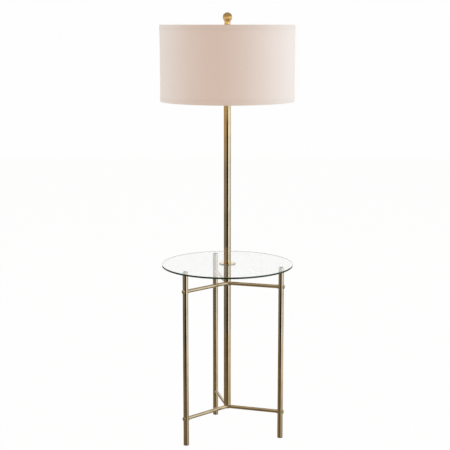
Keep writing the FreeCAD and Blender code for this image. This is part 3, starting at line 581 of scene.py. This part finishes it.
BRASS = PolishedMetal("polished brass", (0.83, 0.735, 0.575), roughness=0.06)
HARP_BRASS = PolishedMetal("bright brass", (0.80, 0.63, 0.36), roughness=0.12)
# Partly the finial's own warmer brass and partly a painted highlight: this colour is lighter than
# the other brass, standing in for the bright reflection of the shade's inside.
BRIGHTENED_GOLD_BRASS = PolishedMetal("gold brass with painted highlight", (0.98, 0.74, 0.36), roughness=0.07)
SOCKET_BRASS = PolishedMetal("spun brass", (0.80, 0.65, 0.38), roughness=0.16,
                             grain=(40.0, 40.0, 1800.0))
ZINC = PolishedMetal("zinc plate", (0.62, 0.63, 0.64), roughness=0.28, tarnish=0.9)
ALUMINIUM = PolishedMetal("pressed aluminium", (0.82, 0.82, 0.81), roughness=0.2,
                          grain=(40.0, 40.0, 2400.0))
SHADE_CLOTH = WovenFabric("shade cloth", (0.87, 0.81, 0.755))
# Painted shade: the bands' cloth is the shade's cloth made darker and greyer, for the light that
# the folded double cloth holds back.
SHADED_TRIM_CLOTH = WovenFabric("trim cloth with painted shade", (0.845, 0.79, 0.735), pitch=0.7 * MM, slub=0.2)
TABLE_GLASS = ClearGlass("clear table glass", (0.985, 0.995, 0.99))
GLASS_EDGE = GroundEdge("ground glass edge", (0.016, 0.042, 0.018))
PAD_RUBBER = Moulded("clear pad", (0.62, 0.64, 0.62), 0.4)
DARK_RUBBER = Moulded("dark rubber", (0.02, 0.017, 0.014), 0.6)
HOLDER_PLASTIC = Moulded("black moulding", (0.016, 0.015, 0.014), 0.38)
CARD_LINER = Moulded("fibre liner", (0.30, 0.22, 0.13), 0.85, grain=700.0, relief=0.06 * MM)
LEAD_SHEATH = Moulded("lead sheath", (0.03, 0.028, 0.026), 0.5)
OPAL = OpalGlass("opal bulb glass", (0.86, 0.86, 0.84))
STUDIO_FLOOR = WhiteFloor("white floor")
SKY = StudioCard("ceiling card", ((0.36, 0.30, 0.24),) * 4)
BOARDS = WaxedBoards("waxed boards", matt=(0.22, 0.17, 0.10), dim=(0.035, 0.024, 0.008),
                     lit=(0.24, 0.22, 0.18), near=(0.64, 0.56, 0.44), far=(0.88, 0.77, 0.68))


def dress(finish: Finish, *nodes: str) -> None:
    """Gives nodes of the frame a finish.

    Args:
        finish: The finish.
        nodes: The nodes' names.
    """
    for name in nodes:
        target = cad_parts[name]
        if not target.material_slots:
            target.data.materials.append(None)
        for material_slot in target.material_slots:
            material_slot.link = "OBJECT"
            material_slot.material = finish.material()
        LOG.info("%s: %s", name, finish.name)


# ---------------------------------------------------------------- mesh helpers
def node_span(name: str) -> tuple[Vector, Vector]:
    """Lowest and highest corner of a node at rest."""
    low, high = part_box(name)
    return Vector(low), Vector(high)


def circle(radius: float, count: int) -> list[tuple[float, float]]:
    """Points round the origin, evenly spaced."""
    angles = [2 * math.pi * i / count for i in range(count)]
    return [(radius * math.cos(angle), radius * math.sin(angle)) for angle in angles]


def rounded(profile: Profile, corners: dict[int, float],
            steps: int = 4) -> list[tuple[float, float]]:
    """Rounds corners of a closed profile.

    Args:
        profile: The profile's (radius, height) corners.
        corners: Radius of the rounding, by the corner's index.
        steps: Lengths that each rounding is divided into.

    Returns:
        The profile with the roundings in it.
    """
    points: list[tuple[float, float]] = []
    for i, corner in enumerate(profile):
        if i not in corners:
            points.append(corner)
            continue
        here = Vector(corner)
        to_before = (Vector(profile[i - 1]) - here).normalized()
        to_after = (Vector(profile[(i + 1) % len(profile)]) - here).normalized()
        half_angle = to_before.angle(to_after) / 2
        setback = corners[i] / math.tan(half_angle)
        start, end = here + to_before * setback, here + to_after * setback
        for step in range(steps + 1):
            share = step / steps
            bow = start.lerp(here, share).lerp(here.lerp(end, share), share)
            points.append((bow.x, bow.y))
    return points


def finished(name: str, vertices: Sequence, faces: Sequence,
             uvs: Sequence[tuple[float, float]] = (),
             sharp_angle: float = 30.0) -> bpy.types.Object:
    """Makes an object of vertices and faces, shaded smooth but for its sharp edges.

    Args:
        name: The object's name.
        vertices: Places of the vertices.
        faces: Vertices of each face.
        uvs: One place in the UV map for each corner of each face, or none at all.
        sharp_angle: Edges that turn more than this stay sharp.

    Returns:
        The object, linked to the scene.
    """
    mesh = bpy.data.meshes.new(name)
    mesh.from_pydata(vertices, [], faces)
    layer = mesh.uv_layers.new(name="surface")
    for loop, place in zip(layer.data, uvs or [(0.0, 0.0)] * len(layer.data)):
        loop.uv = place
    mesh.validate()
    mesh.shade_smooth()
    mesh.set_sharp_from_angle(angle=math.radians(sharp_angle))
    piece = bpy.data.objects.new(name, mesh)
    bpy.context.scene.collection.objects.link(piece)
    return piece


@dataclass
class Lathe:
    """Closed profile turned about an upright axis, with a UV map in metres of surface."""

    name: str
    profile: Profile
    segments: int = 192
    centre: tuple[float, float] = (0.0, 0.0)
    sharp_angle: float = 35.0

    def build(self) -> bpy.types.Object:
        """Makes the mesh.

        Returns:
            The object, linked to the scene.
        """
        count = len(self.profile)
        lengths = [0.0]
        for before, after in zip(self.profile, [*self.profile[1:], self.profile[0]]):
            lengths.append(lengths[-1] + math.dist(before, after))
        widest = max(radius for radius, _ in self.profile)
        vertices, faces, uvs = [], [], []
        for i in range(self.segments):
            angle = 2 * math.pi * i / self.segments
            vertices += [(self.centre[0] + radius * math.cos(angle),
                          self.centre[1] + radius * math.sin(angle), height)
                         for radius, height in self.profile]
            left, right = (2 * math.pi * widest * column / self.segments for column in (i, i + 1))
            here, following = i * count, (i + 1) % self.segments * count
            for j in range(count):
                after = (j + 1) % count
                faces.append((here + j, following + j, following + after, here + after))
                uvs += [(left, lengths[j]), (right, lengths[j]),
                        (right, lengths[j + 1]), (left, lengths[j + 1])]
        return finished(self.name, vertices, faces, uvs, self.sharp_angle)


def put_in_place(piece: bpy.types.Object, body: Body, slot: Slot, nodes: Iterable[str],
                 *finishes: Finish) -> None:
    """Dresses a new piece and ties it to the frame.

    Args:
        piece: The piece.
        body: The body that it rides on.
        slot: Not used.
        nodes: The nodes of the frame that it stands for.
        finishes: Its materials, by index.
    """
    for finish in finishes:
        piece.data.materials.append(finish.material())
    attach(piece, body.value)
    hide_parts(*nodes)
    LOG.info("%s: %d faces", piece.name, len(piece.data.polygons))


@dataclass(frozen=True)
class UprightTube:
    """Brass tube whose outer edges are broken smooth."""

    node: str
    wall: float
    edge: float
    segments: int

    def build(self, centre: tuple[float, float] = (0.0, 0.0)) -> None:
        """Makes the tube and puts it in its node's place.

        Args:
            centre: Where it stands.
        """
        low, high = node_span(self.node)
        outer = (high.x - low.x) / 2
        inner = outer - self.wall
        profile = rounded([(inner, low.z), (outer, low.z), (outer, high.z), (inner, high.z)],
                          {1: self.edge, 2: self.edge})
        piece = Lathe(f"{self.node}_tube", profile, self.segments, centre).build()
        put_in_place(piece, Body.STAND, Slot.BRASS, [self.node], BRASS)


# ---------------------------------------------------------------- legs
@dataclass
class Legs:
    """Three tube legs with their feet, top plugs and the pads under the glass."""

    wall: float = 1.2 * MM
    edge: float = 0.25 * MM
    segments: int = 72

    def build(self) -> None:
        """Builds the tubes and dresses the rest."""
        for node in ("leg_left", "leg_right", "leg_rear"):
            low, high = node_span(node)
            centre = (low + high) / 2
            UprightTube(node, self.wall, self.edge, self.segments).build((centre.x, centre.y))
        dress(DARK_RUBBER, "leg_feet")
        dress(BRASS, "leg_top_plugs")
        dress(PAD_RUBBER, "glass_bumpers")


# ---------------------------------------------------------------- struts
@dataclass
class StrutFrame:
    """Six round struts in two stars, with their saddles, screws, inserts and hubs."""

    wall: float = 1.0 * MM
    segments: int = 72
    sharp_angle: float = 40.0
    sides: tuple[str, ...] = ("left", "right", "rear")

    def build(self) -> None:
        """Builds the struts and dresses their fixings."""
        for level in ("lower", "upper"):
            for side in self.sides:
                self.strut(f"{level}_strut_{side}", f"leg_{side}")
        dress(BRASS, "strut_saddles", "leg_screws")
        dress(ZINC, "strut_inserts", "lower_hub", "upper_hub")

    def strut(self, node: str, leg: str) -> None:
        """A strut's tube, mitred to its neighbours at the pole's axis.

        Args:
            node: The strut's node.
            leg: The leg that it reaches.
        """
        low, high = node_span(node)
        leg_low, leg_high = node_span(leg)
        towards = ((leg_low + leg_high) / 2).xy.normalized()
        outer = (high.z - low.z) / 2
        end = self.reach(low, high, towards, outer)
        outside, inside = self.ends(outer, end), self.ends(outer - self.wall, end)
        rings = (outside[0], outside[1], inside[1], inside[0])
        turn = Matrix.Rotation(math.atan2(towards.y, towards.x), 3, "Z")
        rise = Vector((0, 0, (low.z + high.z) / 2))
        vertices = [turn @ Vector(point) + rise for ring in rings for point in ring]
        faces = []
        for i in range(len(rings)):
            here, following = i * self.segments, (i + 1) % len(rings) * self.segments
            for j in range(self.segments):
                after = (j + 1) % self.segments
                faces.append((here + j, following + j, following + after, here + after))
        piece = finished(f"{node}_tube", vertices, faces, sharp_angle=self.sharp_angle)
        put_in_place(piece, Body.STAND, Slot.BRASS, [node], BRASS)

    def ends(self, radius: float, reach: float) -> tuple[list[Point], list[Point]]:
        """Rings of points at the two ends of a tube that lies along X.

        Args:
            radius: The rings' radius.
            reach: How far the square end is from the origin.

        Returns:
            The mitred ring at the origin and the square one.
        """
        mitre = math.tan(math.pi / len(self.sides))
        ring = circle(radius, self.segments)
        return [(abs(y) / mitre, y, z) for y, z in ring], [(reach, y, z) for y, z in ring]

    @staticmethod
    def reach(low: Vector, high: Vector, towards: Vector, radius: float) -> float:
        """How far the strut's end is from the pole's axis, from its node's box.

        Args:
            low: The box's lowest corner.
            high: The box's highest corner.
            towards: Direction of the strut, level and of length 1.
            radius: The strut's outer radius.

        Returns:
            The distance along the strut.
        """
        along, across = (0, 1) if abs(towards.x) > abs(towards.y) else (1, 0)
        edge = max(abs(low[along]), abs(high[along]))
        return (edge - radius * abs(towards[across])) / abs(towards[along])


# ---------------------------------------------------------------- pole
@dataclass
class Pole:
    """The two lengths of the pole, with what closes, joins and feeds them."""

    wall: float = 1.2 * MM
    edge: float = 0.35 * MM
    segments: int = 96

    def build(self) -> None:
        """Builds the tubes and dresses the rest."""
        for node in ("lower_pole", "upper_pole"):
            UprightTube(node, self.wall, self.edge, self.segments).build()
        dress(BRASS, "pole_cap")
        dress(ZINC, "pole_plugs", "lower_nipple", "middle_nipple", "top_nipple")
        dress(DARK_RUBBER, "cord_grommet")
        dress(LEAD_SHEATH, "pole_wiring")


# ---------------------------------------------------------------- table
@dataclass
class GlassTable:
    """Round glass with ground edges, its gasket and the brass disc on it."""

    chamfer: float = 0.8 * MM
    arris: float = 0.25 * MM
    clearance: float = 0.6 * MM
    segments: int = 256
    sharp_angle: float = 3.0

    def build(self) -> None:
        """Builds the glass and dresses the disc and gasket."""
        low, high = node_span("glass_top")
        pole_low, pole_high = node_span("upper_pole")
        inner = (pole_high.x - pole_low.x) / 2 + self.clearance
        outer = (high.x - low.x) / 2
        face = outer - self.chamfer
        profile = rounded([(inner, low.z), (face, low.z), (outer, low.z + self.chamfer),
                           (outer, high.z - self.chamfer), (face, high.z), (inner, high.z)],
                          dict.fromkeys((1, 2, 3, 4), self.arris))
        piece = Lathe("table_glass_sheet", profile, self.segments,
                      sharp_angle=self.sharp_angle).build()
        put_in_place(piece, Body.STAND, Slot.GLASS, ["glass_top"], TABLE_GLASS, GLASS_EDGE)
        for polygon in piece.data.polygons:
            polygon.material_index = int(math.hypot(*polygon.center.xy) > face)
        dress(BRASS, "glass_flange")
        dress(PAD_RUBBER, "flange_gasket")


# ---------------------------------------------------------------- shade
@dataclass
class DrumShade:
    """Drum shade: a cloth wall, a folded band on each rim, its rings and the fitter."""

    wall: float = 1.2 * MM
    wall_rows: int = 24
    wall_segments: int = 1152
    trim_thickness: float = 0.5 * MM
    trim_height: float = 18.0 * MM
    trim_return: float = 9.0 * MM
    trim_segments: int = 288
    edge: float = 0.2 * MM
    crease: float = 0.32 * MM
    gap: float = 0.05 * MM

    def build(self) -> None:
        """Builds the cloth pieces and dresses the metal."""
        self.drum()
        self.trim("shade_top_trim", -1)
        self.trim("shade_bottom_trim", 1)
        dress(ZINC, "shade_top_ring", "shade_bottom_ring", "shade_arms", "shade_washer")

    def radius(self, height: float) -> float:
        """The shade's outer radius at a height.

        Args:
            height: The height.

        Returns:
            The radius, between those of the two rims.
        """
        _, top = node_span("shade_top_trim")
        bottom_low, bottom = node_span("shade_bottom_trim")
        share = (height - bottom_low.z) / (top.z - bottom_low.z)
        return bottom.x + (top.x - bottom.x) * share

    def drum(self) -> None:
        """The cloth wall, between the two bands."""
        low, high = node_span("shade_drum")
        inset = self.trim_thickness + self.gap
        heights = [low.z + (high.z - low.z) * i / self.wall_rows
                   for i in range(self.wall_rows + 1)]
        outside = [(self.radius(height) - inset, height) for height in heights]
        inside = [(radius - self.wall, height) for radius, height in reversed(outside)]
        piece = Lathe("shade_cloth_wall", outside + inside, self.wall_segments).build()
        put_in_place(piece, Body.SHADE, Slot.FABRIC, ["shade_drum"], SHADE_CLOTH)

    def trim(self, node: str, inwards: int) -> None:
        """A band of cloth folded over a rim.

        Args:
            node: The band's node.
            inwards: -1 at the top rim and 1 at the bottom one.
        """
        low, high = node_span(node)
        rim = high.z if inwards < 0 else low.z
        band_end, return_end = rim + inwards * self.trim_height, rim + inwards * self.trim_return
        thick, fold = self.trim_thickness, self.fold_width()
        corners = [
            (self.radius(band_end), band_end),
            (self.radius(rim), rim),
            (self.radius(rim) - fold - thick, rim),
            (self.radius(return_end) - fold - thick, return_end),
            (self.radius(return_end) - fold, return_end),
            (self.radius(rim) - fold, rim + inwards * thick),
            (self.radius(rim) - thick, rim + inwards * thick),
            (self.radius(band_end) - thick, band_end),
        ]
        profile = rounded(corners, {0: self.edge, 1: self.crease, 2: self.crease, 3: self.edge})
        if inwards < 0:
            profile.reverse()
        piece = Lathe(f"{node}_band", profile, self.trim_segments).build()
        put_in_place(piece, Body.SHADE, Slot.TRIM, [node], SHADED_TRIM_CLOTH)

    def fold_width(self) -> float:
        """Distance from the shade's outside to the band inside the ring."""
        low, high = node_span("shade_top_ring")
        return self.trim_thickness + self.wall + (high.z - low.z) + 3 * self.gap


# ---------------------------------------------------------------- small sub-assemblies
class LampHolder:
    """Brass socket, its inner parts and the switch."""

    def build(self) -> None:
        """Dresses the holder's nodes."""
        dress(SOCKET_BRASS, "socket_cap", "socket_shell", "socket_screw_shell", "socket_contact",
              "terminal_screws")
        dress(CARD_LINER, "socket_liner")
        dress(HOLDER_PLASTIC, "socket_body", "switch_knob")
        dress(ZINC, "switch_shaft")
        dress(LEAD_SHEATH, "socket_leads")


class Bulb:
    """Bulb with its screw cap."""

    def build(self) -> None:
        """Dresses the bulb's nodes."""
        dress(OPAL, "bulb_glass")
        dress(ALUMINIUM, "bulb_base", "bulb_contact")
        dress(HOLDER_PLASTIC, "bulb_insulator")


class Harp:
    """Wire bow, its saddle, sleeves and stud."""

    def build(self) -> None:
        """Dresses the harp's nodes."""
        dress(HARP_BRASS, "harp", "harp_stud", "harp_saddle", "harp_sleeve_left",
              "harp_sleeve_right")
        dress(ZINC, "saddle_nut")


class Finial:
    """Ball finial that holds the shade down."""

    def build(self) -> None:
        """Dresses the finial's node."""
        dress(BRIGHTENED_GOLD_BRASS, "finial")


# ---------------------------------------------------------------- studio
@dataclass(frozen=True)
class Window:
    """A soft rectangular lamp that lights the object and shows in no reflection."""

    name: str
    place: Point
    power: float
    colour: Colour
    aim: Point = (0.0, 0.0, 1.0)
    size: tuple[float, float] = (2.4, 2.8)

    def build(self) -> None:
        """Adds the lamp."""
        light = bpy.data.lights.new(self.name, "AREA")
        light.shape = "RECTANGLE"
        light.size, light.size_y = self.size
        light.energy, light.color = self.power, self.colour
        holder = bpy.data.objects.new(self.name, light)
        holder.location = self.place
        ray = Vector(self.aim) - Vector(self.place)
        holder.rotation_euler = ray.to_track_quat("-Z", "Y").to_euler()
        holder.visible_glossy = False
        bpy.context.scene.collection.objects.link(holder)


@dataclass(frozen=True)
class Wall:
    """A curved upright card, from one angle to another off the camera's side towards +X."""

    name: str
    start: float
    end: float
    shades: tuple[Colour, Colour, Colour, Colour]


WALLS = (
    Wall("left_card", -152.0, -42.0,
         ((0.155, 0.145, 0.12), (0.27, 0.236, 0.186), (0.48, 0.33, 0.16), (0.62, 0.46, 0.24))),
    Wall("brown_card", -42.0, -18.0,
         ((0.10, 0.075, 0.045), (0.26, 0.215, 0.155), (0.40, 0.24, 0.09), (0.76, 0.64, 0.38))),
    Wall("dark_card", -18.0, 27.0,
         ((0.0, 0.0, 0.0), (0.0, 0.0, 0.0), (0.07, 0.02, 0.0), (0.72, 0.64, 0.40))),
    Wall("bright_card", 27.0, 46.0,
         ((1.0, 0.96, 0.86), (1.12, 1.1, 0.98), (1.15, 1.1, 0.90), (1.0, 0.95, 0.75))),
    Wall("right_card", 46.0, 92.0,
         ((0.72, 0.71, 0.67), (0.82, 0.83, 0.81), (0.97, 0.95, 0.81), (1.0, 0.95, 0.75))),
    Wall("back_card", 92.0, 150.0,
         ((0.36, 0.37, 0.37), (0.44, 0.47, 0.50), (0.74, 0.72, 0.62), (0.74, 0.70, 0.55))),
)
WINDOWS = (
    Window("right_window", (3.4, -0.1, 1.9), 57.0, (0.70, 1.0, 1.20)),
    Window("left_window", (-3.4, 0.9, 1.9), 42.0, (0.614, 1.0, 1.2)),
)


@dataclass
class Studio:
    """White floor and surroundings, soft lamps, cards for the reflections, and the camera."""

    floor_radius: float = 9.0
    wall_radius: float = 1.5
    wall_height: float = 1.75
    wall_steps: int = 24
    ceiling_radius: float = 2.2
    boards_rise: float = 0.5 * MM
    disc_steps: int = 96
    ambient: Colour = (0.77, 0.605, 0.52)
    backdrop: float = 0.99
    image_width: float = 450.0
    focal_pixels: float = 1154.03
    sensor: float = 36.0
    camera_place: Point = (0.0, -3.9526, 1.4391)
    camera_pitch: float = 9.8585
    camera_yaw: float = 0.119
    camera_range: float = 100.0

    def build(self) -> None:
        """Builds everything that isn't the lamp."""
        self.camera()
        self.world()
        self.floor()
        self.cards()
        for window in WINDOWS:
            window.build()
        bpy.context.scene.view_settings.view_transform = "Standard"

    def camera(self) -> None:
        """Camera where the photographer stood."""
        data = bpy.data.cameras.new("camera")
        data.sensor_width = self.sensor
        data.lens = self.focal_pixels * self.sensor / self.image_width
        data.clip_end = self.camera_range
        camera = bpy.data.objects.new("camera", data)
        camera.location = self.camera_place
        camera.rotation_euler = Euler((math.radians(90 - self.camera_pitch), 0.0,
                                       math.radians(self.camera_yaw)))
        bpy.context.scene.collection.objects.link(camera)
        bpy.context.scene.camera = camera

    def world(self) -> None:
        """White surroundings to the eye, metal and glass, and a plain level of light otherwise."""
        world = bpy.data.worlds.new("studio")
        world.use_nodes = True
        bpy.context.scene.world = world
        graph = Graph(world.node_tree)
        ambient = graph.add(Node.BACKGROUND, Color=opaque(self.ambient), Strength=1.0)
        white = graph.add(Node.BACKGROUND, Color=opaque(WHITE), Strength=self.backdrop)
        graph.output(graph.mix(graph.seen(), ambient, white), Node.WORLD_OUTPUT)

    def floor(self) -> None:
        """Round white floor."""
        floor = self.disc("floor", self.floor_radius, 0.0)
        floor.data.materials.append(STUDIO_FLOOR.material())

    def cards(self) -> None:
        """Curved walls, a shiny floor and a ceiling that only reflections see; the back is open."""
        for wall in WALLS:
            self.show_to_reflections(self.curved(wall), StudioCard(wall.name, wall.shades))
        ceiling = self.disc("ceiling_card", self.ceiling_radius, self.wall_height)
        self.show_to_reflections(ceiling, SKY)
        boards = self.disc("floor_card", self.wall_radius, self.boards_rise)
        self.show_to_reflections(boards, BOARDS)

    def curved(self, wall: Wall) -> bpy.types.Object:
        """The bent sheet of a wall.

        Args:
            wall: The wall.

        Returns:
            The object.
        """
        vertices = []
        for i in range(self.wall_steps + 1):
            turn = math.radians(wall.start + (wall.end - wall.start) * i / self.wall_steps)
            vertices += [(self.wall_radius * math.sin(turn), -self.wall_radius * math.cos(turn),
                          height) for height in (0.0, self.wall_height)]
        faces = [(2 * i, 2 * i + 2, 2 * i + 3, 2 * i + 1) for i in range(self.wall_steps)]
        return finished(wall.name, vertices, faces)

    def disc(self, name: str, radius: float, height: float) -> bpy.types.Object:
        """A round level face over the origin.

        Args:
            name: The object's name.
            radius: Its radius.
            height: Its height.

        Returns:
            The object.
        """
        rim = [(x, y, height) for x, y in circle(radius, self.disc_steps)]
        return finished(name, rim, [tuple(range(self.disc_steps))])

    def show_to_reflections(self, card: bpy.types.Object, finish: Finish) -> None:
        """Gives a card its finish and hides it from everything but reflections.

        Args:
            card: The card.
            finish: Its finish.
        """
        card.data.materials.append(finish.material())
        card.visible_camera = card.visible_diffuse = card.visible_shadow = False
        card.visible_volume_scatter = False


def main() -> None:
    """Builds the lamp and its studio in order."""
    logging.basicConfig(level=logging.INFO, format="%(name)s %(message)s")
    for part in (Studio(), Legs(), StrutFrame(), Pole(), GlassTable(), Harp(), LampHolder(), Bulb(),
                 DrumShade(), Finial()):
        part.build()


if __name__ == "__main__":
    main()
